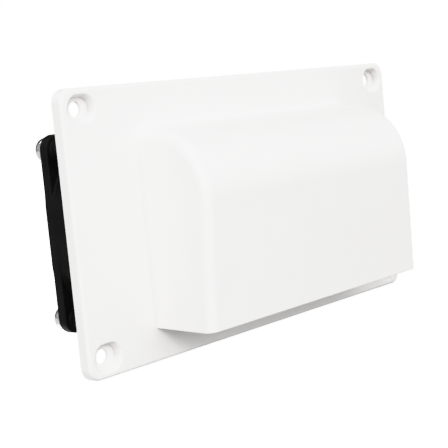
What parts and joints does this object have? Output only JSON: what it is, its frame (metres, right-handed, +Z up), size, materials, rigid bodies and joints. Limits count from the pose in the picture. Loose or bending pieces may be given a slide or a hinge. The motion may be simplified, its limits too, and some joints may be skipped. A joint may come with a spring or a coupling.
{
  "type": "caravan wall vent with twin fans",
  "caption": "Hooded caravan vent cover: a flanged plate with a downward-open rain hood in front and axial extractor fans on a collar behind.",
  "frame": {"origin": "centre of the cover plate, on the wall plane where the back of its rim rests", "axes": "+Z up, -Y outdoors towards the hood, +Y into the wall; X runs along the long side of the plate"},
  "size_m": [0.212, 0.1045, 0.108],
  "materials": {
    "cover_plastic": "satin white moulded ABS with fine pits",
    "seal_foam": "closed-cell foam tape",
    "fan_plastic": "fine spark-eroded black plastic",
    "screw_chrome": "bright plated, light drive marks",
    "yoke_steel": "pressed zinc-plated steel",
    "magnet": "bonded ferrite",
    "shaft_steel": "ground",
    "bearing_bronze": "oiled sintered bronze",
    "washer_plastic": "natural nylon",
    "core_steel": "stacked laminations",
    "former_plastic": "natural moulded insulation",
    "copper": "enamelled wire",
    "board": "green solder resist",
    "sticker": "plain silver film",
    "lead_red": "soft insulation",
    "lead_black": "soft insulation",
    "tie_nylon": "black nylon",
    "plug_nylon": "natural nylon",
    "pin_metal": "plated contact"
  },
  "bodies": {
    "housing": {"hood_plate": "cover_plastic", "seal_strips": "seal_foam", "fan_screws": "screw_chrome", "fan_frame_left": "fan_plastic", "sleeve_bearing_left": "bearing_bronze", "thrust_washer_left": "washer_plastic", "stator_core_left": "core_steel", "coil_former_left": "former_plastic", "windings_left": "copper", "circuit_board_left": "board", "hub_sticker_left": "sticker", "fan_frame_right": "fan_plastic", "sleeve_bearing_right": "bearing_bronze", "thrust_washer_right": "washer_plastic", "stator_core_right": "core_steel", "coil_former_right": "former_plastic", "windings_right": "copper", "circuit_board_right": "board", "hub_sticker_right": "sticker", "red_lead_left": "lead_red", "black_lead_left": "lead_black", "red_lead_right": "lead_red", "black_lead_right": "lead_black", "cable_tie": "tie_nylon", "plug_housing": "plug_nylon", "plug_pins": "pin_metal"},
    "left_rotor": {"impeller_left": "fan_plastic", "rotor_yoke_left": "yoke_steel", "magnet_ring_left": "magnet", "shaft_left": "shaft_steel", "retaining_clip_left": "shaft_steel"},
    "right_rotor": {"impeller_right": "fan_plastic", "rotor_yoke_right": "yoke_steel", "magnet_ring_right": "magnet", "shaft_right": "shaft_steel", "retaining_clip_right": "shaft_steel"}
  },
  "joints": [
    {"name": "left_fan_spin", "type": "hinge", "parent": "housing", "child": "left_rotor", "pos_m": [-0.0435, 0.0223, -0.0026], "axis": [0, 1, 0], "continuous": true},
    {"name": "right_fan_spin", "type": "hinge", "parent": "housing", "child": "right_rotor", "pos_m": [0.0435, 0.0223, -0.0026], "axis": [0, 1, 0], "continuous": true}
  ]
}
